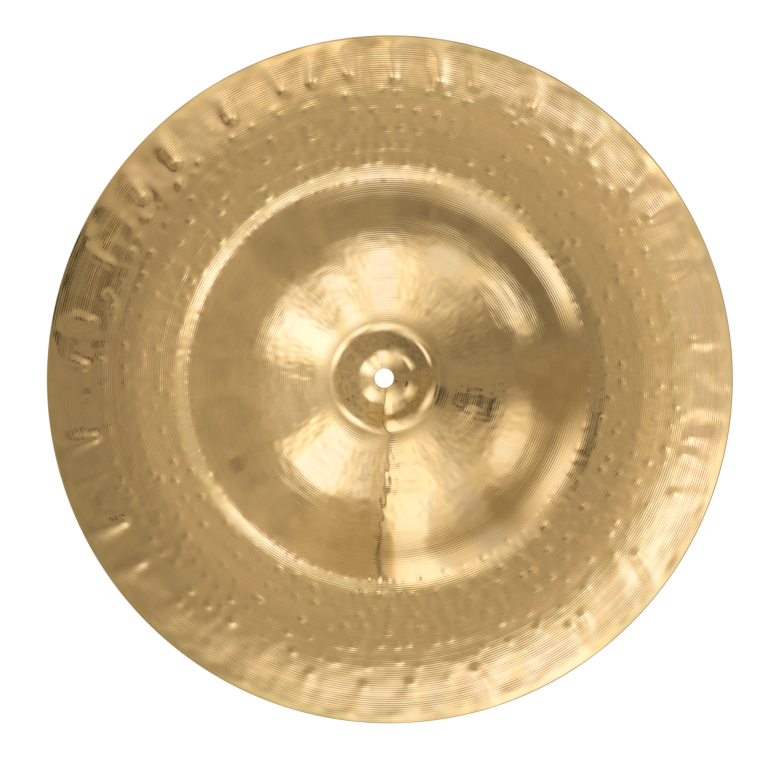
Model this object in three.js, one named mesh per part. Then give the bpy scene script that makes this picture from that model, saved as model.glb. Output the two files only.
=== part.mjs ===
// China cymbal: one bronze plate, spun to shape, hammered and lathed.
// Units are millimetres, +Z is up, and the origin is on the surface that the cymbal lies on, under its hole.
import * as THREE from "three";

// Driving dimensions
const cymbalDiameter = 482.6; // 19 inch
const holeDiameter = 13.4;
const crownFlatDiameter = 20; // flat ring round the hole, where the felts bear
const bellFootDiameter = 80; // where the bell runs out into the bow
const bowDiameter = 160; // the gently domed playing area
const haunchDiameter = 244; // where the bow falls most steeply
const troughDiameter = 308; // the lowest ring, which the cymbal rests on
const troughFlatWidth = 2;
const holeThickness = 1.3;
const rimThickness = 0.8;

// Slopes of the plate in degrees, positive where it falls outwards
const bellCrownSlope = 16;
const bellShoulderSlope = 33;
const bellFootSlope = 6.5;
const bowSlope = 11.3;
const haunchSlope = 26.3;
const kneeSlope = 21;
const creaseSlope = 15.5;
const fieldSlope = -1.5;
const flangeFootSlope = -7.5;
const flangeSlope = -13.5;
const rimSlope = -13;

// Where the slope changes between two driving diameters, as shares of the way from the inner one to the outer
const bellCrownShare = 0.2; // of the bell, outside the crown flat: the crown ends and the bell's side begins
const bellShoulderShare = 0.57; // of the same way: the bell is steepest
const bowStartShare = 0.25; // of the way from the bell's foot to the bow's edge: the bow's slope stays the same from here
const kneeShare = 0.25; // of the way from the haunch to the trough
const creaseShare = 0.6; // of the same way: the kink where the hammering begins
const fieldShare = 0.235; // of the way from the trough to the rim
const flangeFootShare = 0.38; // of the same way: the flange turns up from here
const flangeShare = 0.68; // of the same way: the row of heavy blows, where the flange is steepest

// Hammering of the upper face, and the ripples that the heavy blows send out to the rim
const markDepth = 0.3;
const rippleHeight = 0.6;

// Sides round each ring. The flange has two sides for each mark of a row, and four for each ripple.
const bellSides = 38;
const bowSides = 76;
const flangeSides = 152;
const markCount = flangeSides / 2;
const rippleCount = flangeSides / 4;

const between = THREE.MathUtils.lerp;
const holeRadius = holeDiameter / 2;
const crownRadius = crownFlatDiameter / 2;
const bellRadius = bellFootDiameter / 2;
const bowRadius = bowDiameter / 2;
const haunchRadius = haunchDiameter / 2;
const troughRadius = troughDiameter / 2;
const troughEdgeRadius = troughRadius + troughFlatWidth;
const rimRadius = cymbalDiameter / 2;
const bellCrownRadius = between(crownRadius, bellRadius, bellCrownShare);
const bellShoulderRadius = between(crownRadius, bellRadius, bellShoulderShare);
const bowStartRadius = between(bellRadius, bowRadius, bowStartShare);
const kneeRadius = between(haunchRadius, troughRadius, kneeShare);
const creaseRadius = between(haunchRadius, troughRadius, creaseShare);
const fieldRadius = between(troughEdgeRadius, rimRadius, fieldShare);
const flangeFootRadius = between(troughEdgeRadius, rimRadius, flangeFootShare);
const flangeRadius = between(troughEdgeRadius, rimRadius, flangeShare);

// Each stretch runs from the end of the last one to a radius, as one arc that ends at the given slope. Counting back
// from its outer end, every second ring of a hammered stretch is a row of marks.
const stretches = [
  { to: crownRadius, slope: 0, rings: 1, sides: bellSides },
  { to: bellCrownRadius, slope: bellCrownSlope, rings: 2, sides: bellSides },
  { to: bellShoulderRadius, slope: bellShoulderSlope, rings: 3, sides: bellSides },
  { to: bellRadius, slope: bellFootSlope, rings: 3, sides: bellSides },
  { to: bowStartRadius, slope: bowSlope, rings: 2, sides: bowSides },
  { to: bowRadius, slope: bowSlope, rings: 1, sides: bowSides },
  { to: haunchRadius, slope: haunchSlope, rings: 4, sides: bowSides },
  { to: kneeRadius, slope: kneeSlope, rings: 2, sides: bowSides },
  { to: creaseRadius, slope: creaseSlope, rings: 1, sides: flangeSides, isHammered: true },
  { to: troughRadius, slope: 0, rings: 2, sides: flangeSides, isHammered: true },
  { to: troughEdgeRadius, slope: 0, rings: 1, sides: flangeSides },
  { to: fieldRadius, slope: fieldSlope, rings: 4, sides: flangeSides, isHammered: true },
  { to: flangeFootRadius, slope: flangeFootSlope, rings: 2, sides: flangeSides, isHammered: true },
  { to: flangeRadius, slope: flangeSlope, rings: 4, sides: flangeSides, isHammered: true },
  { to: rimRadius, slope: rimSlope, rings: 3, sides: flangeSides },
];

// One arc's drop between two radii, where the slope's sine grows evenly with the radius.
function arcDrop(width, slopeIn, slopeOut) {
  const sineChange = Math.sin(slopeOut) - Math.sin(slopeIn);
  const isStraight = Math.abs(sineChange) < Number.EPSILON;
  return isStraight
    ? width * Math.tan(slopeIn)
    : (width * (Math.cos(slopeIn) - Math.cos(slopeOut))) / sineChange;
}

// Middle line of the plate from the hole to the rim, as one station for each ring. A station is a row of marks, lies
// between two rows, or is neither.
function middleLine() {
  const stations = [{ radius: holeRadius, height: 0, slope: 0, sides: bellSides }];
  let rowNumber = 0;
  for (const stretch of stretches) {
    const start = stations.at(-1);
    const endSlope = THREE.MathUtils.degToRad(stretch.slope);
    for (let ring = 1; ring <= stretch.rings; ring++) {
      const share = ring / stretch.rings;
      const sine = between(Math.sin(start.slope), Math.sin(endSlope), share);
      const slope = Math.asin(sine);
      const radius = between(start.radius, stretch.to, share);
      const height = start.height - arcDrop(radius - start.radius, start.slope, slope);
      const isRow = stretch.isHammered && (stretch.rings - ring) % 2 === 0;
      const isBetweenRows = stretch.isHammered && !isRow;
      rowNumber += isRow ? 1 : 0;
      stations.push({ radius, height, slope, sides: stretch.sides, isRow, isBetweenRows, rowNumber });
    }
  }
  return stations;
}

function thicknessAt(radius) {
  const share = (radius - holeRadius) / (rimRadius - holeRadius);
  return between(holeThickness, rimThickness, share);
}

// Marks are pressed into the upper face, and each row's are turned half a step from the last row's.
function markAt(station, angle) {
  const wave = Math.cos(markCount * angle + station.rowNumber * Math.PI);
  return station.isRow ? (-markDepth * (1 + wave)) / 2 : 0;
}

// Ripples go through the whole plate. They grow from the flange's foot, and die out at the rim.
function rippleAt(station, angle) {
  const share = (station.radius - flangeFootRadius) / (rimRadius - flangeFootRadius);
  const swell = Math.sin(Math.PI * Math.max(share, 0));
  return (rippleHeight / 2) * swell * Math.cos(rippleCount * angle);
}

// A ring of vertices, appended to positions. Returns where it starts and how many sides it has.
function addRing(positions, radius, sides, heightAt) {
  const first = positions.length / 3;
  for (let side = 0; side < sides; side++) {
    const angle = (2 * Math.PI * side) / sides;
    positions.push(radius * Math.cos(angle), radius * Math.sin(angle), heightAt(angle));
  }
  return { first, sides };
}

// Faces between two rings. Where the counts differ, each side of the coarse ring fans out to its share of the fine one.
function bridge(indices, inner, outer) {
  const sides = Math.min(inner.sides, outer.sides);
  const innerStep = inner.sides / sides;
  const outerStep = outer.sides / sides;
  const at = (ring, number) => ring.first + (number % ring.sides);
  for (let side = 0; side < sides; side++) {
    const innerStart = side * innerStep;
    const outerStart = side * outerStep;
    const innerHalf = Math.floor(innerStep / 2);
    const outerHalf = Math.ceil(outerStep / 2);
    for (let i = 0; i < outerHalf; i++) {
      indices.push(at(inner, innerStart), at(outer, outerStart + i), at(outer, outerStart + i + 1));
    }
    for (let i = 0; i < innerStep; i++) {
      indices.push(at(inner, innerStart + i), at(outer, outerStart + outerHalf), at(inner, innerStart + i + 1));
    }
    for (let i = outerHalf; i < outerStep; i++) {
      indices.push(at(inner, innerStart + innerStep), at(outer, outerStart + i), at(outer, outerStart + i + 1));
    }
  }
}

// Upper face with its marks. The underside has no marks, and so needs fewer rings and sides.
function upperRings(positions, stations, lift) {
  return stations.map((station) => {
    const halfHeight = thicknessAt(station.radius) / 2 / Math.cos(station.slope);
    const middle = station.height + lift;
    return addRing(positions, station.radius, station.sides, (angle) => {
      return middle + halfHeight + markAt(station, angle) + rippleAt(station, angle);
    });
  });
}

function undersideRings(positions, stations, lift) {
  const kept = stations.filter((station) => !station.isBetweenRows);
  return kept.map((station) => {
    const halfHeight = thicknessAt(station.radius) / 2 / Math.cos(station.slope);
    const middle = station.height + lift;
    const isRippled = station.radius > flangeFootRadius;
    const sides = isRippled ? station.sides : Math.min(station.sides, bowSides);
    return addRing(positions, station.radius, sides, (angle) => middle - halfHeight + rippleAt(station, angle));
  });
}

function plateGeometry() {
  const stations = middleLine();
  const trough = stations.find((station) => station.radius >= troughRadius);
  const lift = thicknessAt(trough.radius) / 2 - trough.height;
  const positions = [];
  const indices = [];
  const upper = upperRings(positions, stations, lift);
  const underside = undersideRings(positions, stations, lift).reverse();
  const loop = [...upper, ...underside];
  loop.forEach((ring, number) => bridge(indices, ring, loop[(number + 1) % loop.length]));
  const geometry = new THREE.BufferGeometry();
  geometry.setAttribute("position", new THREE.Float32BufferAttribute(positions, 3));
  geometry.setIndex(indices);
  geometry.computeVertexNormals();
  return geometry;
}

const bronze = new THREE.MeshStandardMaterial({ color: 0xc8a15a, roughness: 0.25, metalness: 1 });

const cymbal = new THREE.Mesh(plateGeometry(), bronze);
cymbal.name = "cymbal";

const chinaCymbal = new THREE.Group();
chinaCymbal.add(cymbal);

export default chinaCymbal;
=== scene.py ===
import math

import bpy
import numpy as np
from mathutils import Matrix, Vector


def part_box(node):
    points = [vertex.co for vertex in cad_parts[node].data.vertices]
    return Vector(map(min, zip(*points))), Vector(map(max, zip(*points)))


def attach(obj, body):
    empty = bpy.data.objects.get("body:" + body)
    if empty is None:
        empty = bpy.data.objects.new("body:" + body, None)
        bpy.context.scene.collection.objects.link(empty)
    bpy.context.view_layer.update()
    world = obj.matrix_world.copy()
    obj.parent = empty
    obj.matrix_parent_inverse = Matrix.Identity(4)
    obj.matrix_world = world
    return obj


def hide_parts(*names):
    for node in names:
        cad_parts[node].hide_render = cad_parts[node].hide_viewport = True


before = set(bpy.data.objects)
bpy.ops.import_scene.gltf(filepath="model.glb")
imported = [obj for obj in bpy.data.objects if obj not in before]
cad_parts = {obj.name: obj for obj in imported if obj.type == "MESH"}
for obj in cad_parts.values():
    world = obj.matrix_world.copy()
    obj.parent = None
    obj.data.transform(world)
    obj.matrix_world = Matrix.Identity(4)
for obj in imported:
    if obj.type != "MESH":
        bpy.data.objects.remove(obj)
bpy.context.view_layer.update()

bl_info = {
    "name": "China Cymbal",
    "version": (1, 0, 0),
    "blender": (4, 5, 0),
    "location": "View3D > Sidebar > China Cymbal",
    "description": "Makes a hammered and lathed bronze china cymbal, with a floor and soft studio light",
    "category": "Add Mesh",
}

MM = 0.001
NODE = "cymbal"
cad_low, cad_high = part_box(NODE)

# The photograph's width, which the camera's lens is worked out from
IMAGE_WIDTH_PX = 773


def linear(hex_colour):
    """An sRGB colour, written as six hex digits, as linear red, green and blue."""
    channels = [int(hex_colour[start : start + 2], 16) / 255 for start in (0, 2, 4)]
    return [c / 12.92 if c <= 0.04045 else ((c + 0.055) / 1.055) ** 2.4 for c in channels]


def opaque(colour, level=1.0):
    """A colour for a node's socket, with its channels at a level and nothing showing through."""
    return (*(level * channel for channel in colour), 1)


def add_node(tree, kind, inputs=(), **settings):
    """Adds a shader node.

    Settings are its own properties. Inputs go by name or in the order of its sockets. Each is a value, a
    socket, or a node whose first output feeds it.
    """
    made = tree.nodes.new(f"ShaderNode{kind}")
    for name, value in settings.items():
        setattr(made, name, value)
    by_socket = inputs if isinstance(inputs, dict) else dict(enumerate(inputs))
    for socket, value in by_socket.items():
        feed = value.outputs[0] if isinstance(value, bpy.types.Node) else value
        if isinstance(feed, bpy.types.NodeSocket):
            tree.links.new(feed, made.inputs[socket])
        else:
            made.inputs[socket].default_value = feed
    return made


def colour_property(name, description, default):
    return bpy.props.FloatVectorProperty(
        name=name, description=description, default=linear(default), subtype="COLOR", min=0, max=1
    )


def length_property(name, description, default):
    return bpy.props.FloatProperty(
        name=name, description=description, default=default, unit="LENGTH", subtype="DISTANCE", min=0
    )


class CymbalShape(bpy.types.PropertyGroup):
    """Sizes of the spun plate."""

    rim: length_property("Rim diameter", "Across the whole cymbal", cad_high.x - cad_low.x)
    hole: length_property("Hole diameter", "Hole for the stand's rod", 13.4 * MM)
    bell_foot: length_property("Bell diameter", "Where the bell runs out into the bow", 80 * MM)
    bow: length_property("Bow diameter", "Gently domed playing area", 160 * MM)
    haunch: length_property("Haunch diameter", "Where the bow falls most steeply", 244 * MM)
    trough: length_property("Trough diameter", "Lowest ring, which the cymbal rests on", 308 * MM)
    trough_flat: length_property("Trough flat", "Width of the lowest ring", 2 * MM)
    hole_thickness: length_property("Thickness at the hole", "Plate thickness there", 1.3 * MM)
    rim_thickness: length_property("Thickness at the rim", "Plate thickness there", 0.8 * MM)


class CymbalHammering(bpy.types.PropertyGroup):
    """Marks and ripples that the hammer left."""

    mark_depth: length_property("Mark depth", "Depth of one hammer mark", 0.21 * MM)
    mark_width: length_property("Mark width", "Spread of one hammer mark", 1.95 * MM)
    bead_depth: length_property("Bead depth", "Depth of the fine marks along the crease", 0.12 * MM)
    blow_depth: length_property("Blow depth", "Depth of a heavy blow near the rim", 0.32 * MM)
    ripple_depth: length_property("Ripple depth", "Depth of the hollow beyond each heavy blow", 0.36 * MM)
    blow_count: bpy.props.IntProperty(
        name="Heavy blows", description="How many heavy blows lie round the flange", default=45, min=3
    )
    seed: bpy.props.IntProperty(name="Seed", description="Which run of hammer blows is drawn", default=7)


class CymbalFinish(bpy.types.PropertyGroup):
    """Bronze and its lathe grooves."""

    bronze: colour_property("Bronze", "Freshly buffed B20 bronze", "E9CD9A")
    rose_film: colour_property("Rose film", "Bronze where the thinnest film of oxide lies", "EBCB9C")
    green_film: colour_property("Green film", "Bronze where the film is a little thicker", "E6CE99")
    tarnish: colour_property("Tarnish", "Rim's edge and the few spots that the buff missed", "8A5A2C")
    groove_pitch: length_property("Groove pitch", "From one lathe groove to the next", 1.5 * MM)
    groove_depth: length_property("Groove depth", "Depth of a lathe groove", 0.015 * MM)
    roughness: bpy.props.FloatProperty(
        name="Roughness", description="Of the lathed bronze", default=0.075, min=0, max=1, subtype="FACTOR"
    )


class CymbalStudio(bpy.types.PropertyGroup):
    """Lights and surroundings."""

    lamp_level: bpy.props.FloatProperty(
        name="Lamp level",
        description="Radiance of the softboxes, where 1 shows a colour as written",
        default=1.0,
        min=0,
    )
    lamp_middle: colour_property("Softbox middle", "The hot middle of a daylight softbox", "B4CAFF")
    lamp_edge: colour_property("Softbox edge", "Towards the edge of its cloth", "ECF5FF")
    warm_middle: colour_property("Warm softbox middle", "The hot middle of a warmer softbox", "DAE6FF")
    warm_edge: colour_property("Warm softbox edge", "Towards the edge of its cloth", "FFF8E4")
    surroundings: colour_property("Surroundings", "What the metal mirrors between the softboxes", "B4A891")
    warm_side: colour_property("Warm side", "What the metal mirrors at the lower right", "B5A381")
    horizon: colour_property("Horizon", "The room where it meets the floor", "E6E3DC")
    floor: colour_property("Floor", "Paper that the cymbal lies on", "FFFFFF")


def outline_points(shape):
    """Radius and slope of the outline's points, from the hole to the rim.

    A slope is in degrees, and is positive where the plate falls outwards. Between two points the plate is
    one arc. Each point's place is a share of the way between two of the driving radii.
    """
    hole = shape.hole / 2
    bell = shape.bell_foot / 2
    bow = shape.bow / 2
    haunch = shape.haunch / 2
    trough = shape.trough / 2
    trough_edge = trough + shape.trough_flat
    rim = shape.rim / 2
    crown_shares = ((0.0, 9.5), (0.085, 8.5), (0.115, 10.8), (0.25, 12.5), (0.29, 13.5))
    shoulder_shares = ((0.34, 17), (0.4, 22), (0.52, 25.5), (0.61, 35), (0.7, 27))
    bell_foot_shares = ((0.82, 17.5), (0.94, 9), (1.0, 6.6))
    bow_shares = ((0.1, 8.8), (0.25, 11.3), (1.0, 11.4))
    haunch_shares = ((0.24, 15.3), (0.48, 18.5), (0.71, 22.7), (1.0, 26.3))
    knee_shares = ((0.12, 24.5), (0.25, 21), (0.5, 17.8), (0.6, 15.5), (0.69, 10.2), (0.88, 4.6), (1.0, 0))
    field_shares = ((0.0, 0), (0.1, -1), (0.22, -1), (0.28, -3.7), (0.35, -6.3))
    flange_shares = ((0.42, -8), (0.49, -7.8), (0.63, -11.8), (0.77, -13.8), (0.91, -12.4), (1.0, -12.8))
    stretches = (
        (hole, bell, crown_shares + shoulder_shares + bell_foot_shares),
        (bell, bow, bow_shares),
        (bow, haunch, haunch_shares),
        (haunch, trough, knee_shares),
        (trough_edge, rim, field_shares + flange_shares),
    )
    return [
        (inner + (outer - inner) * share, slope)
        for inner, outer, shares in stretches
        for share, slope in shares
    ]


def thickness_at(shape, radius):
    """Thickness of the plate, which thins evenly from the hole to the rim."""
    share = (radius - shape.hole / 2) / (shape.rim / 2 - shape.hole / 2)
    return shape.hole_thickness + share * (shape.rim_thickness - shape.hole_thickness)


def middle_line(shape, radii):
    """Height and slope of the plate's middle at the given radii, with the trough's underside at zero."""
    points = outline_points(shape)
    fine_count = 20000
    ends = [radius for radius, slope in points]
    sines = [math.sin(math.radians(slope)) for radius, slope in points]
    fine = np.linspace(shape.hole / 2, shape.rim / 2, fine_count)
    fall = np.tan(np.arcsin(np.interp(fine, ends, sines)))
    drop = np.concatenate([[0.0], np.cumsum((fall[1:] + fall[:-1]) / 2 * np.diff(fine))])
    trough = shape.trough / 2
    lift = np.interp(trough, fine, drop) + thickness_at(shape, trough) / 2
    return lift - np.interp(radii, fine, drop), np.arcsin(np.interp(radii, ends, sines))


def smooth_step(low, high, value):
    """Eases from 0 at the low end to 1 at the high end."""
    share = np.clip((value - low) / (high - low), 0, 1)
    return share * share * (3 - 2 * share)


# Where round the flange the heavy blows fell hardest, and by what share harder than the average
HEAVY_SIDE = math.radians(135)
HEAVY_SHARE = 0.4


class BlowRow:
    """One row of hammer blows round the plate, each a little off its even place."""

    def __init__(self, random, radius, count, depth, wander):
        stray = 0.4
        shallowest, deepest = 0.15, 1.65
        slant_spread = 0.16
        self.count = count
        self.places = (np.arange(count) + random.uniform(-stray, stray, count)) / count
        self.radii = radius + random.uniform(-wander, wander, count)
        self.depths = depth * random.uniform(shallowest, deepest, count)
        self.slants = random.normal(0, slant_spread, count)

    def near(self, turns):
        """The three blows nearest to each place: how far off each is, in turns, and which it is."""
        nearest = np.rint(turns * self.count).astype(int)
        for step in (-1, 0, 1):
            which = (nearest + step) % self.count
            away = turns - self.places[which]
            yield away - np.rint(away), which


def dents(row, radii, turns, width, length):
    """Rounded dents of a row of blows, as heights by ring and place. Each ends a few spreads away."""
    spreads_reached = 4
    made = np.zeros((len(radii), len(turns)))
    reach = spreads_reached * length + np.ptp(row.radii) / 2
    close = np.abs(radii - row.radii.mean()) < reach
    for away, which in row.near(turns):
        along = radii[close, None] * away[None, :] * math.tau
        across = radii[close, None] - row.radii[None, which]
        dent = np.exp(-((along / width) ** 2 + (across / length) ** 2) / 2)
        made[close] -= dent * row.depths[None, which]
    return made


def fans(row, radii, turns, rim, depth):
    """Slanting hollows from each heavy blow to the rim. They widen, and are deepest in their inner half."""
    narrow, wide = 2.6 * MM, 7.5 * MM
    early_peak = 0.6
    made = np.zeros((len(radii), len(turns)))
    outer = radii > row.radii.min()
    for away, which in row.near(turns):
        start = row.radii[None, which]
        beyond = radii[outer, None] - start
        share = np.clip(beyond / (rim - start), 0, 1)
        width = narrow + (wide - narrow) * share
        along = radii[outer, None] * away[None, :] * math.tau - row.slants[None, which] * beyond
        swell = np.sin(math.pi * share**early_peak) * (row.depths[None, which] / row.depths.mean())
        made[outer] -= depth * swell * np.exp(-((along / width) ** 2) / 2)
    return made


def waves(random, radii, turns, around, across, height, count=48):
    """Smooth random swell, with about `around` waves round the plate and `across` to a metre of radius."""
    made = np.zeros((len(radii), len(turns)))
    for _ in range(count):
        number = round(random.normal(0, around))
        step = random.normal(0, across)
        phase = random.uniform(0, math.tau)
        made += np.cos(math.tau * (number * turns[None, :] + step * radii[:, None]) + phase)
    return made * height * math.sqrt(2 / count)


def relief_maker(shape, work):
    """Returns a function that gives the hammered relief, as heights by ring and place round it."""
    bell, haunch, rim = shape.bell_foot / 2, shape.haunch / 2, shape.rim / 2
    crease_share = 0.62
    crease = haunch + crease_share * (shape.trough / 2 - haunch)
    blows_at = rim - 28 * MM
    second_blows_at = blows_at - 9 * MM
    bead_count = 118
    row_count = 5
    first_count, added_count = 75, 2
    row_pitch = (blows_at - crease) / (row_count + 1)
    random = np.random.default_rng(work.seed)
    bead_row = BlowRow(random, crease, bead_count, work.bead_depth, wander=0.6 * MM)
    mark_rows = [
        BlowRow(
            random,
            crease + row_pitch * (number + 1),
            first_count + added_count * number,
            work.mark_depth,
            wander=2.8 * MM,
        )
        for number in range(row_count)
    ]
    blow_row = BlowRow(random, blows_at, work.blow_count, work.blow_depth, wander=3 * MM)
    second_depth = 0.5 * work.blow_depth
    second_blow_row = BlowRow(random, second_blows_at, work.blow_count, second_depth, wander=3.5 * MM)
    for row in (blow_row, second_blow_row):
        row.depths *= 1 + HEAVY_SHARE * np.cos(math.tau * row.places - HEAVY_SIDE)
    swell_seeds = random.integers(1, 1000, 6)
    # Each row, and the width and length of its dents as shares of a mark's width
    dented_rows = [(bead_row, 0.75, 0.75), *((row, 1.0, 0.8) for row in mark_rows)]
    dented_rows += [(row, 1.4, 1.1) for row in (blow_row, second_blow_row)]

    def relief(radii, turns):
        on_bow = smooth_step(bell + 2 * MM, bell + 20 * MM, radii)
        on_bow *= 1 - smooth_step(haunch - 15 * MM, haunch + 5 * MM, radii)
        on_bell = 1 - smooth_step(bell - 12 * MM, bell, radii)
        off_edge = 1 - smooth_step(rim - 7 * MM, rim, radii)
        on_field = smooth_step(crease - 2 * MM, crease + 8 * MM, radii) * off_edge
        on_flange = smooth_step(blows_at - 26 * MM, blows_at, radii) * off_edge
        # Where each swell lies, its waves round the plate and to a metre of radius, and its height
        swells = (
            (on_bow, 42, 85, 0.016 * MM),
            (on_bow, 13, 42, 0.05 * MM),
            (on_bell, 3, 30, 0.012 * MM),
            (on_field, 75, 45, 0.022 * MM),
            (on_flange, 28, 12, 0.06 * MM),
            (on_flange, 60, 25, 0.022 * MM),
        )
        made = np.zeros((len(radii), len(turns)))
        for (where, around, across, height), seed in zip(swells, swell_seeds):
            swell_random = np.random.default_rng(seed)
            made += where[:, None] * waves(swell_random, radii, turns, around, across, height)
        for row, wide, long in dented_rows:
            made += dents(row, radii, turns, wide * work.mark_width, long * work.mark_width)
        made += fans(blow_row, radii, turns, rim, work.ripple_depth)
        return made

    return relief


# Rounding of the hole's two edges
HOLE_EDGE = 0.3 * MM


class Ring:
    """One closed ring of vertices.

    Its reach says how far along the plate's outline it lies, from 0 at the hole to 1 at the rim.
    """

    def __init__(self, radius, height, sides, relief_share):
        self.radius = radius
        self.height = height
        self.sides = sides
        self.relief_share = relief_share
        self.reach = 0.0


def face_rings(shape, side):
    """Rings of the upper face (side 1) or the underside (side -1), from the hole's edge to the rim's."""
    edge = shape.hole / 2 + HOLE_EDGE
    bell = shape.bell_foot / 2
    haunch = shape.haunch / 2
    rim = shape.rim / 2 - shape.rim_thickness / 2
    coarser = 1 if side > 0 else 2
    underside_share = 0.8
    relief_share = 1.0 if side > 0 else underside_share
    # Each stretch's ends, how far apart its rings are, and how many sides they have
    stretches = (
        (edge, bell, 0.8 * MM, 320),
        (bell, haunch, 1.5 * MM, 640),
        (haunch, rim, 1.0 * MM, 1280),
    )
    rings = []
    for inner, outer, spacing, sides in stretches:
        count = round((outer - inner) / (spacing * coarser))
        radii = np.linspace(inner, outer, count, endpoint=outer == rim)
        middle, slope = middle_line(shape, radii)
        surface = middle + side * thickness_at(shape, radii) / 2 / np.cos(slope)
        rings += [Ring(radius, z, sides // coarser, relief_share) for radius, z in zip(radii, surface)]
    return rings


def rim_rings(shape, sides):
    """Rounded edge of the rim, from the upper face round to the underside."""
    half = shape.rim_thickness / 2
    middle = float(middle_line(shape, shape.rim / 2)[0])
    turns = [math.radians(degrees) for degrees in (60, 30, 0, -30, -60)]
    return [
        Ring(shape.rim / 2 - half + half * math.cos(turn), middle + half * math.sin(turn), sides, 1.0)
        for turn in turns
    ]


def hole_rings(shape, side, sides):
    """Half of the hole's wall with its rounded edge. The upper half (side 1) also has the wall's middle."""
    half = shape.hole_thickness / 2
    middle = float(middle_line(shape, shape.hole / 2)[0])
    rings = [Ring(shape.hole / 2, middle, sides, 0.0)] if side > 0 else []
    for degrees in (0, 30, 60):
        turn = math.radians(degrees)
        radius = shape.hole / 2 + HOLE_EDGE - HOLE_EDGE * math.cos(turn)
        height = middle + side * (half - HOLE_EDGE + HOLE_EDGE * math.sin(turn))
        rings.append(Ring(radius, height, sides, 0.0))
    return rings


def plate_rings(shape):
    """Rings of the whole plate: out over the upper face, round the rim, and back along the underside."""
    upper = face_rings(shape, 1)
    under = face_rings(shape, -1)
    outward = hole_rings(shape, 1, upper[0].sides) + upper
    rim = rim_rings(shape, upper[-1].sides)
    inward = (hole_rings(shape, -1, under[0].sides) + under)[::-1]
    rings = outward + rim + inward
    rim_place = len(outward) + len(rim) // 2
    places = [Vector((ring.radius, ring.height)) for ring in rings]
    travelled = np.cumsum([0.0] + [(b - a).length for a, b in zip(places, places[1:])])
    whole = travelled[-1] + (places[-1] - places[0]).length
    to_rim = travelled[rim_place]
    for number, ring in enumerate(rings):
        out_share = travelled[number] / to_rim
        back_share = (whole - travelled[number]) / (whole - to_rim)
        ring.reach = out_share if number <= rim_place else back_share
    return rings, rim_place


def ring_vertices(rings, relief):
    """Vertices of each ring. None goes below the surface that the cymbal lies on."""
    made = [None] * len(rings)
    for sides in sorted({ring.sides for ring in rings}):
        chosen = [number for number, ring in enumerate(rings) if ring.sides == sides]
        turns = np.arange(sides) / sides
        raised = relief(np.array([rings[number].radius for number in chosen]), turns)
        for row, number in zip(raised, chosen):
            ring = rings[number]
            height = np.maximum(ring.height + ring.relief_share * row, 0)
            made[number] = np.column_stack(
                [ring.radius * np.cos(math.tau * turns), ring.radius * np.sin(math.tau * turns), height]
            )
    return made


def bridge(inner, inner_first, outer, outer_first):
    """Faces between two rings, where one may have twice as many sides as the other."""
    if inner.sides == outer.sides:
        near = np.arange(inner.sides)
        far = (near + 1) % inner.sides
        corners = [inner_first + near, outer_first + near, outer_first + far, inner_first + far]
        return np.column_stack(corners).tolist()
    is_growing = outer.sides > inner.sides
    coarse, coarse_first = (inner, inner_first) if is_growing else (outer, outer_first)
    fine, fine_first = (outer, outer_first) if is_growing else (inner, inner_first)
    faces = []
    for side in range(coarse.sides):
        here = coarse_first + side
        beyond = coarse_first + (side + 1) % coarse.sides
        first, middle, last = (fine_first + (2 * side + step) % fine.sides for step in range(3))
        made = [(here, first, middle), (here, middle, beyond), (beyond, middle, last)]
        faces += made if is_growing else [face[::-1] for face in made]
    return faces


def map_surface(mesh, rings, face_is_upper):
    """Lays the upper face and the underside out as two discs on the diagonal of the unit square."""
    disc_radius, hole_share = 0.28, 0.03
    upper_centre, under_centre = 0.29, 0.71
    reach = np.repeat([ring.reach for ring in rings], [ring.sides for ring in rings])
    turn = np.concatenate([np.arange(ring.sides) / ring.sides * math.tau for ring in rings])
    out = disc_radius * (hole_share + (1 - hole_share) * reach)
    loops = np.empty(len(mesh.loops), dtype=int)
    mesh.loops.foreach_get("vertex_index", loops)
    counts = np.empty(len(mesh.polygons), dtype=int)
    mesh.polygons.foreach_get("loop_total", counts)
    centre = np.where(np.repeat(face_is_upper, counts), upper_centre, under_centre)
    flat = np.column_stack([centre + (out * np.cos(turn))[loops], centre + (out * np.sin(turn))[loops]])
    layer = mesh.uv_layers.new(name="OFBake")
    layer.data.foreach_set("uv", flat.astype(np.float32).ravel())


def plate_mesh(shape, work):
    """The whole plate as one closed mesh."""
    rings, rim_place = plate_rings(shape)
    vertices = ring_vertices(rings, relief_maker(shape, work))
    firsts = np.cumsum([0] + [ring.sides for ring in rings]).tolist()
    faces = []
    face_is_upper = []
    for number, ring in enumerate(rings):
        following = (number + 1) % len(rings)
        made = bridge(ring, firsts[number], rings[following], firsts[following])
        faces += made
        face_is_upper += [number < rim_place] * len(made)
    mesh = bpy.data.meshes.new("china_cymbal_plate")
    mesh.from_pydata(np.concatenate(vertices).tolist(), [], faces)
    map_surface(mesh, rings, face_is_upper)
    mesh.shade_smooth()
    return mesh


# Settings of nodes: a range that is mapped with eased ends, a mix of colours, and a noise in one dimension
EASED = {"interpolation_type": "SMOOTHSTEP"}
OF_COLOURS = {"data_type": "RGBA"}
IN_ONE_DIMENSION = {"noise_dimensions": "1D"}

# The values between which most of a noise lies, and nearly all of it
MOST_NOISE = (0.3, 0.7)
NEARLY_ALL_NOISE = (0.2, 0.8)


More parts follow.
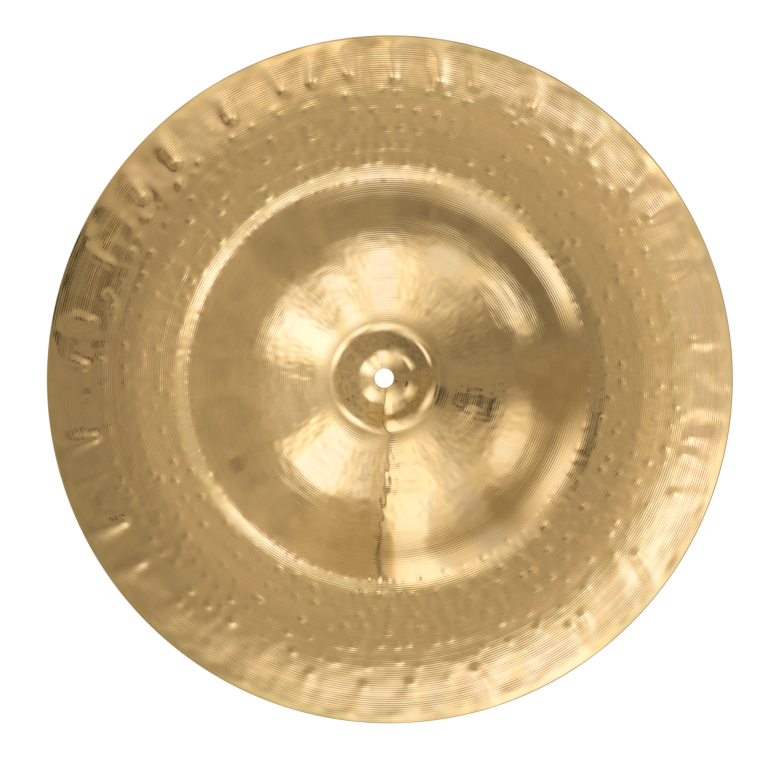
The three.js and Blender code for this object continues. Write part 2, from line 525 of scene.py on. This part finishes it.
def lathed_bronze(shape, finish):
    """Cast B20 bronze, hammered, then lathed with a round-nosed tool and lightly buffed.

    The tool leaves a spiral of shallow grooves, which break every reflection into fine rings. The buffing
    leaves the metal bright and a little hazy in patches, with its reflections drawn out across the
    grooves, and with a film of oxide too thin to dull it.
    """
    haze_width = 41.7 * MM
    haze_share = 0.25
    material = bpy.data.materials.new("lathed_b20_bronze")
    material.use_nodes = True
    tree = material.node_tree
    tree.nodes.clear()
    place = add_node(tree, "TexCoord").outputs["Object"]
    axes = add_node(tree, "SeparateXYZ", (place,)).outputs
    x_squared = add_node(tree, "Math", (axes["X"], axes["X"]), operation="MULTIPLY")
    y_squared = add_node(tree, "Math", (axes["Y"], axes["Y"]), operation="MULTIPLY")
    both_squared = add_node(tree, "Math", (x_squared, y_squared), operation="ADD")
    radius = add_node(tree, "Math", (both_squared,), operation="SQRT")
    turn = add_node(tree, "Math", (axes["Y"], axes["X"]), operation="ARCTAN2")
    grooves = groove_height(tree, shape, finish, place, radius, turn)
    haze = add_node(tree, "TexNoise", {"Vector": place, "Scale": 1 / haze_width, "Detail": 4.0})
    least = (1 - haze_share) * finish.roughness
    most = (1 + haze_share) * finish.roughness
    bump_inputs = {"Strength": 1.0, "Distance": finish.groove_depth, "Height": grooves}
    inputs = {
        "Base Color": bronze_colour(tree, shape, finish, place, radius),
        "Metallic": 1.0,
        "Roughness": add_node(tree, "MapRange", (haze, *MOST_NOISE, least, most)),
        "Anisotropic": 0.5,
        "Anisotropic Rotation": 0.25,
        "Tangent": add_node(tree, "Tangent", direction_type="RADIAL", axis="Z"),
        "Normal": add_node(tree, "Bump", bump_inputs),
    }
    principled = add_node(tree, "BsdfPrincipled", inputs)
    add_node(tree, "OutputMaterial", (principled,))
    return material


def groove_height(tree, shape, finish, place, radius, turn):
    """Spiral of lathe grooves. A hammered plate doesn't run true, so some bands and patches are deeper.

    The grooves are shallow on the bell, which is hardly lathed, and deepest from the haunch outwards.
    """
    bands_per_groove = 0.16
    patch_width = 22 * MM
    # The tool's quick chatter and its slower drift: changes to a groove, their detail, and the most they do
    uneven_ways = ((0.9, 2.0, 0.55), (0.36, 0.0, 0.5))
    bell, rim = shape.bell_foot / 2, shape.rim / 2
    across = add_node(tree, "Math", (radius, finish.groove_pitch), operation="DIVIDE")
    around = add_node(tree, "Math", (turn, math.tau), operation="DIVIDE")
    spiral = add_node(tree, "Math", (across, around), operation="ADD")
    spiral = add_node(tree, "Math", (spiral, math.tau), operation="MULTIPLY")
    wave = add_node(tree, "Math", (spiral,), operation="SINE")
    changes = []
    for per_groove, detail, most in uneven_ways:
        inputs = {"W": across, "Scale": per_groove, "Detail": detail}
        uneven = add_node(tree, "TexNoise", inputs, **IN_ONE_DIMENSION)
        changes.append(add_node(tree, "MapRange", (uneven, *NEARLY_ALL_NOISE, -most, most)))
    change = add_node(tree, "Math", changes, operation="ADD")
    profile = add_node(tree, "Math", (wave, change), operation="ADD")
    inputs = {"W": across, "Scale": bands_per_groove, "Detail": 1.0}
    bands = add_node(tree, "TexNoise", inputs, **IN_ONE_DIMENSION)
    patches = add_node(tree, "TexNoise", {"Vector": place, "Scale": 1 / patch_width, "Detail": 1.0})
    # What each share of the depth follows, between which values of it, and the share at either of them
    depth_shares = (
        (bands, *MOST_NOISE, 0.6, 1.3),
        (patches, *MOST_NOISE, 0.65, 1.25),
        (radius, bell - 4 * MM, bell + 8 * MM, 0.08, 0.42),
        (radius, shape.bow / 2, shape.haunch / 2, 1.0, 2.0),
        (radius, shape.trough / 2, rim - 30 * MM, 1.0, 0.95),
        (radius, rim - 15 * MM, rim - 5 * MM, 1.0, 0.42),
    )
    depth = 1.0
    for values in depth_shares:
        share = add_node(tree, "MapRange", values, **EASED)
        depth = add_node(tree, "Math", (depth, share), operation="MULTIPLY")
    return add_node(tree, "Math", (profile, depth), operation="MULTIPLY")


def bronze_colour(tree, shape, finish, place, radius):
    """Bronze with a film of oxide in faint rings, a tarnished rim edge, and a few spots."""
    ring_width, cloud_width = 9 * MM, 83.3 * MM
    spot_spacing, spot_radius = 95 * MM, 0.55 * MM
    edge_width = 0.5 * MM
    spot_core = 0.4
    tarnish_share = 0.45
    film_start = 0.95
    rings = add_node(tree, "Math", (radius, ring_width), operation="DIVIDE")
    rings = add_node(tree, "TexNoise", {"W": rings, "Scale": 1.0, "Detail": 2.0}, **IN_ONE_DIMENSION)
    clouds = add_node(tree, "TexNoise", {"Vector": place, "Scale": 1 / cloud_width, "Detail": 3.0})
    film = add_node(tree, "Math", (rings, clouds), operation="ADD")
    off_bow = add_node(tree, "MapRange", (radius, shape.haunch / 2, shape.trough / 2, 0.15, 1.0), **EASED)
    colour = opaque(finish.bronze)
    for film_end, shade in ((1.25, finish.rose_film), (0.7, finish.green_film)):
        shown = add_node(tree, "MapRange", (film, film_start, film_end), **EASED)
        shown = add_node(tree, "Math", (shown, off_bow), operation="MULTIPLY")
        inputs = {"Factor": shown, "A": colour, "B": opaque(shade)}
        colour = add_node(tree, "Mix", inputs, **OF_COLOURS).outputs["Result"]
    cells = add_node(tree, "TexVoronoi", {"Vector": place, "Scale": 1 / spot_spacing})
    spot_share = spot_radius / spot_spacing
    spot_range = (cells.outputs["Distance"], spot_share, spot_core * spot_share)
    spots = add_node(tree, "MapRange", spot_range, **EASED)
    edge = add_node(tree, "MapRange", (radius, shape.rim / 2 - edge_width, shape.rim / 2), **EASED)
    worn = add_node(tree, "Math", (spots, edge), operation="MAXIMUM")
    worn = add_node(tree, "Math", (worn, tarnish_share), operation="MULTIPLY")
    inputs = {"Factor": worn, "A": colour, "B": opaque(finish.tarnish)}
    return add_node(tree, "Mix", inputs, **OF_COLOURS).outputs["Result"]


class CHINACYMBAL_OT_form_plate(bpy.types.Operator):
    """Form the hammered and lathed bronze plate"""

    bl_idname = "china_cymbal.form_plate"
    bl_label = "Form Plate"

    def execute(self, context):
        scene = context.scene
        mesh = plate_mesh(scene.cymbal_shape, scene.cymbal_hammering)
        mesh.materials.append(lathed_bronze(scene.cymbal_shape, scene.cymbal_finish))
        plate = bpy.data.objects.new("bronze_plate", mesh)
        scene.collection.objects.link(plate)
        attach(plate, "root")
        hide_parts(NODE)
        return {"FINISHED"}


# Softboxes. The first four numbers of each are degrees: the azimuth and the lean from straight up at which
# it hangs, and how wide it looks round the sky and along its lean. Then come its level, the share of its
# half width over which its edge fades, and how warm its cloth is.
SOFTBOXES = (
    ("top", 102, 29.5, 25, 38, 0.94, 0.88, 0.2),
    ("top_left", 127, 26, 12, 23, 0.9, 0.85, 0.0),
    ("left_upper", 153, 28.5, 22, 26, 1.02, 0.8, 0.0),
    ("left", 186, 25, 26, 22, 0.13, 0.7, 0.0),
    ("left_lower", 223, 29.5, 24, 25, 1.06, 0.75, 0.25),
    ("bottom_left", 246, 25, 9, 27, 0.34, 0.7, 0.7),
    ("bottom", 276, 34.5, 28, 54, 0.66, 0.85, 0.85),
    ("bottom_edge", 272, 39, 11, 46, 0.4, 0.3, 1.0),
    ("bottom_right", 296, 31, 18, 57, 0.32, 0.7, 1.0),
    ("right_lower", 328, 34, 34, 36, 0.98, 1.0, 0.9),
    ("right_upper", 39, 38, 31, 16, 1.0, 0.75, 0.9),
    ("top_right", 70, 33, 29, 40, 0.68, 0.9, 1.0),
)

# How far off the softboxes hang, in metres
SOFTBOX_DISTANCE = 3.5

# Dark things between the softboxes, with the same four numbers first. Then come its level, as a share of the
# surroundings', and how far off it is in metres.
CARDS = (
    ("near_clamp", 339, 11.2, 5.5, 3.2, 0.05, 3.2),
    ("far_clamp", 345.4, 22.7, 6.5, 2.9, 0.06, 1.0),
    ("cord", 261.5, 38, 0.75, 44, 0.1, 1.0),
    ("top_stand", 83, 56, 3, 4, 0.35, 3.2),
    ("left_stand", 206, 61, 4, 5, 0.4, 3.2),
)

# Corners of a square, two across, that a card or the floor is made from
SQUARE = ((-1, -1), (1, -1), (1, 1), (-1, 1))


def direction_at(azimuth, lean):
    """The direction at an azimuth in degrees from +X, and at a lean in degrees from straight up."""
    turn, tilt = math.radians(azimuth), math.radians(lean)
    return Vector((math.sin(tilt) * math.cos(turn), math.sin(tilt) * math.sin(turn), math.cos(tilt)))


def hang(scene, data, azimuth, lean, distance):
    """Hangs a lamp or a card so that it faces the cymbal. The camera doesn't see it, but the metal does."""
    away = direction_at(azimuth, lean)
    turn = math.radians(azimuth)
    round_way = Vector((-math.sin(turn), math.cos(turn), 0))
    turned = Matrix((round_way, away.cross(round_way), away)).transposed()
    hung = bpy.data.objects.new(data.name, data)
    hung.matrix_world = Matrix.Translation(away * distance) @ turned.to_4x4()
    hung.visible_camera = False
    scene.collection.objects.link(hung)
    return hung


def span(distance, degrees):
    """How wide a thing is that looks so many degrees wide at a distance."""
    return 2 * distance * math.tan(math.radians(degrees) / 2)


def blended(first, second, share):
    """A colour that is a share of the way from one to another."""
    return [a + (b - a) * share for a, b in zip(first, second)]


def evened(colour):
    """A colour at a luminance of 1, so that a level means the same whatever the colour."""
    eye_shares = (0.2126, 0.7152, 0.0722)
    luminance = sum(share * channel for share, channel in zip(eye_shares, colour))
    return opaque(colour, 1 / luminance)


def softbox(name, wide, long, level, fade, middle, edge):
    """A softbox that fades towards its edges, as its cloth does. Its power gives the wanted radiance."""
    half = 0.5
    hot_power = 4
    data = bpy.data.lights.new(f"softbox_{name}", "AREA")
    data.shape = "RECTANGLE"
    data.size = span(SOFTBOX_DISTANCE, wide)
    data.size_y = span(SOFTBOX_DISTANCE, long)
    data.energy = level * math.pi * data.size * data.size_y
    data.use_nodes = True
    tree = data.node_tree
    tree.nodes.clear()
    face = add_node(tree, "NewGeometry").outputs["Parametric"]
    axes = add_node(tree, "SeparateXYZ", (face,)).outputs
    fades = []
    for axis in ("X", "Y"):
        off_middle = add_node(tree, "Math", (axes[axis], half), operation="SUBTRACT")
        off_middle = add_node(tree, "Math", (off_middle,), operation="ABSOLUTE")
        fades.append(add_node(tree, "MapRange", (off_middle, half, half * (1 - fade)), **EASED))
    strength = add_node(tree, "Math", fades, operation="MULTIPLY")
    hot = add_node(tree, "Math", (strength, hot_power), operation="POWER")
    inputs = {"Factor": hot, "A": evened(edge), "B": evened(middle)}
    colour = add_node(tree, "Mix", inputs, **OF_COLOURS).outputs["Result"]
    glow = add_node(tree, "Emission", {"Color": colour, "Strength": strength})
    add_node(tree, "OutputLight", (glow,))
    return data


def card(name, wide, long, distance, colour):
    """A plain card, which the metal mirrors as a dark patch."""
    half_wide = span(distance, wide) / 2
    half_long = span(distance, long) / 2
    corners = [(x * half_wide, y * half_long, 0) for x, y in SQUARE]
    data = bpy.data.meshes.new(f"card_{name}")
    data.from_pydata(corners, [], [(0, 1, 2, 3)])
    material = bpy.data.materials.new("dark_card")
    material.use_nodes = True
    tree = material.node_tree
    tree.nodes.clear()
    glow = add_node(tree, "Emission", {"Color": colour, "Strength": 1.0})
    add_node(tree, "OutputMaterial", (glow,))
    data.materials.append(material)
    return data


def lay_floor(scene, studio):
    """Matt white paper under the cymbal. It shows white, and keeps the cymbal's shadow."""
    half_size = 6.0
    glow_level, lit_level, bounce_level = 0.96, 0.14, 0.6
    corners = [(x * half_size, y * half_size, 0) for x, y in SQUARE]
    mesh = bpy.data.meshes.new("paper_floor")
    mesh.from_pydata(corners, [], [(0, 1, 2, 3)])
    floor = bpy.data.objects.new("paper_floor", mesh)
    scene.collection.objects.link(floor)
    material = bpy.data.materials.new("matt_white_paper")
    material.use_nodes = True
    tree = material.node_tree
    tree.nodes.clear()
    path = add_node(tree, "LightPath").outputs
    seen = add_node(tree, "Math", (path["Is Camera Ray"], path["Is Glossy Ray"]), operation="MAXIMUM")
    seen = add_node(tree, "Math", (seen, path["Is Transmission Ray"]), operation="MAXIMUM")
    lit = add_node(tree, "BsdfDiffuse", {"Color": opaque(studio.floor, lit_level)})
    glow = add_node(tree, "Emission", {"Color": opaque(studio.floor), "Strength": glow_level})
    shown = add_node(tree, "AddShader", (lit, glow))
    plain = add_node(tree, "BsdfDiffuse", {"Color": opaque(studio.floor, bounce_level)})
    mixed = add_node(tree, "MixShader", (seen, plain, shown))
    add_node(tree, "OutputMaterial", (mixed,))
    mesh.materials.append(material)


def room_colour(tree, studio, way, height):
    """Warm grey, a little warmer at the lower right, and pale near the horizon."""
    warm_way = direction_at(305, 90)
    to_warm = add_node(tree, "VectorMath", (way, warm_way), operation="DOT_PRODUCT").outputs["Value"]
    colour = opaque(studio.surroundings)
    for values, shade in (((to_warm, 0.1, 0.5), studio.warm_side), ((height, 0.22, 0.02), studio.horizon)):
        share = add_node(tree, "MapRange", values, **EASED)
        inputs = {"Factor": share, "A": colour, "B": opaque(shade)}
        colour = add_node(tree, "Mix", inputs, **OF_COLOURS).outputs["Result"]
    return colour


def room_strength(tree, way, axes):
    """How bright the room is each way: dim on the right, with a dark wall, a glow on the left, and clutter.

    Where a change begins and ends is given as a part of a direction whose length is 1.
    """
    clutter_width = math.radians(6)
    wall_way = direction_at(78, 90)
    left_level, right_level = 1.2, 0.78
    far_left_level, wall_level, glow_level = 0.88, 0.76, 1.2
    ragged = 0.06
    clutter_share = 0.3
    clutter_inputs = {"Vector": way, "Scale": 1 / clutter_width, "Detail": 4.0, "Roughness": 0.65}
    clutter = add_node(tree, "TexNoise", clutter_inputs)
    to_right = add_node(tree, "MapRange", (axes["X"], -0.3, 0.3, left_level, right_level))
    level_way = add_node(tree, "VectorMath", (way, (1, 1, 0)), operation="MULTIPLY")
    level_way = add_node(tree, "VectorMath", (level_way,), operation="NORMALIZE")
    facing = add_node(tree, "VectorMath", (level_way, wall_way), operation="DOT_PRODUCT").outputs["Value"]
    wall_edge = add_node(tree, "MapRange", (clutter, *MOST_NOISE, -ragged, ragged))
    facing = add_node(tree, "Math", (facing, wall_edge), operation="ADD")
    wall_side = add_node(tree, "MapRange", (facing, 0.45, 0.49), **EASED)
    wall_top = add_node(tree, "MapRange", (axes["Z"], 0.8, 0.72), **EASED)
    wall = add_node(tree, "Math", (wall_side, wall_top), operation="MULTIPLY")
    wall_shade = add_node(tree, "MapRange", (wall, 0, 1, 1, wall_level))
    far_left = add_node(tree, "MapRange", (axes["X"], -0.5, -0.75, 1, far_left_level), **EASED)
    off_middle = add_node(tree, "Math", (axes["Y"],), operation="ABSOLUTE")
    glow = add_node(tree, "MapRange", (off_middle, 0.34, 0.14), **EASED)
    for outside, inside in ((0.08, -0.22), (-0.62, -0.5)):
        share = add_node(tree, "MapRange", (axes["X"], outside, inside), **EASED)
        glow = add_node(tree, "Math", (glow, share), operation="MULTIPLY")
    left_glow = add_node(tree, "MapRange", (glow, 0, 1, 1, glow_level))
    strength = add_node(tree, "Math", (to_right, wall_shade), operation="MULTIPLY")
    left = add_node(tree, "Math", (far_left, left_glow), operation="MULTIPLY")
    strength = add_node(tree, "Math", (strength, left), operation="MULTIPLY")
    clutter_shade = add_node(tree, "MapRange", (clutter, *MOST_NOISE, 1 - clutter_share, 1 + clutter_share))
    return add_node(tree, "Math", (strength, clutter_shade), operation="MULTIPLY")


def set_world(scene, studio):
    """White behind the cymbal, and for its reflections a warm grey room."""
    world = bpy.data.worlds.new("studio_room")
    scene.world = world
    world.use_nodes = True
    tree = world.node_tree
    tree.nodes.clear()
    way = add_node(tree, "TexCoord").outputs["Generated"]
    axes = add_node(tree, "SeparateXYZ", (way,)).outputs
    colour = room_colour(tree, studio, way, axes["Z"])
    room = add_node(tree, "Background", {"Color": colour, "Strength": room_strength(tree, way, axes)})
    white = add_node(tree, "Background", {"Color": (1, 1, 1, 1), "Strength": 1.0})
    path = add_node(tree, "LightPath").outputs
    mixed = add_node(tree, "MixShader", (path["Is Camera Ray"], room, white))
    add_node(tree, "OutputWorld", (mixed,))


def place_camera(scene):
    """The photograph's view: nearly straight down, from a little to the right of the bell."""
    azimuth, lean, distance = -12.1, 4.7, 3.0
    aim = Vector((-0.57, -3.66, 15)) * MM
    # How large the photograph shows what is at that distance
    pixels_per_mm = 1.4275
    away = direction_at(azimuth, lean)
    data = bpy.data.cameras.new("camera")
    data.sensor_fit = "HORIZONTAL"
    data.sensor_width = 36.0
    data.lens = data.sensor_width * pixels_per_mm * (distance / MM) / IMAGE_WIDTH_PX
    data.clip_start = 0.05
    data.clip_end = 50
    camera = bpy.data.objects.new("camera", data)
    right = (-away).cross(Vector((0, 1, 0))).normalized()
    up = right.cross(-away)
    turned = Matrix((right, up, away)).transposed()
    camera.matrix_world = Matrix.Translation(aim + away * distance) @ turned.to_4x4()
    scene.collection.objects.link(camera)
    scene.camera = camera


class CHINACYMBAL_OT_lay_stage(bpy.types.Operator):
    """Lay the floor, hang the softboxes and cards, and place the camera"""

    bl_idname = "china_cymbal.lay_stage"
    bl_label = "Lay Stage"

    def execute(self, context):
        scene = context.scene
        studio = scene.cymbal_studio
        lay_floor(scene, studio)
        set_world(scene, studio)
        for name, azimuth, lean, wide, long, level, fade, warmth in SOFTBOXES:
            middle = blended(studio.lamp_middle, studio.warm_middle, warmth)
            edge = blended(studio.lamp_edge, studio.warm_edge, warmth)
            data = softbox(name, wide, long, level * studio.lamp_level, fade, middle, edge)
            hang(scene, data, azimuth, lean, SOFTBOX_DISTANCE)
        for name, azimuth, lean, wide, long, level, distance in CARDS:
            data = card(name, wide, long, distance, opaque(studio.surroundings, level))
            hang(scene, data, azimuth, lean, distance)
        place_camera(scene)
        scene.view_settings.view_transform = "Standard"
        return {"FINISHED"}


class CHINACYMBAL_PT_panel(bpy.types.Panel):
    """Sizes, finish and light of the china cymbal"""

    bl_idname = "CHINACYMBAL_PT_panel"
    bl_label = "China Cymbal"
    bl_space_type = "VIEW_3D"
    bl_region_type = "UI"
    bl_category = "China Cymbal"

    def draw(self, context):
        for name, group in PROPERTY_GROUPS.items():
            box = self.layout.box()
            settings = getattr(context.scene, name)
            for key in group.__annotations__:
                box.prop(settings, key)
        self.layout.operator(CHINACYMBAL_OT_form_plate.bl_idname)
        self.layout.operator(CHINACYMBAL_OT_lay_stage.bl_idname)


PROPERTY_GROUPS = {
    "cymbal_shape": CymbalShape,
    "cymbal_hammering": CymbalHammering,
    "cymbal_finish": CymbalFinish,
    "cymbal_studio": CymbalStudio,
}
CLASSES = (
    *PROPERTY_GROUPS.values(),
    CHINACYMBAL_OT_form_plate,
    CHINACYMBAL_OT_lay_stage,
    CHINACYMBAL_PT_panel,
)


def register():
    for each in CLASSES:
        bpy.utils.register_class(each)
    for name, group in PROPERTY_GROUPS.items():
        setattr(bpy.types.Scene, name, bpy.props.PointerProperty(type=group))


def unregister():
    for name in PROPERTY_GROUPS:
        delattr(bpy.types.Scene, name)
    for each in reversed(CLASSES):
        bpy.utils.unregister_class(each)


def main():
    register()
    bpy.ops.china_cymbal.form_plate()
    bpy.ops.china_cymbal.lay_stage()


if __name__ == "__main__":
    main()
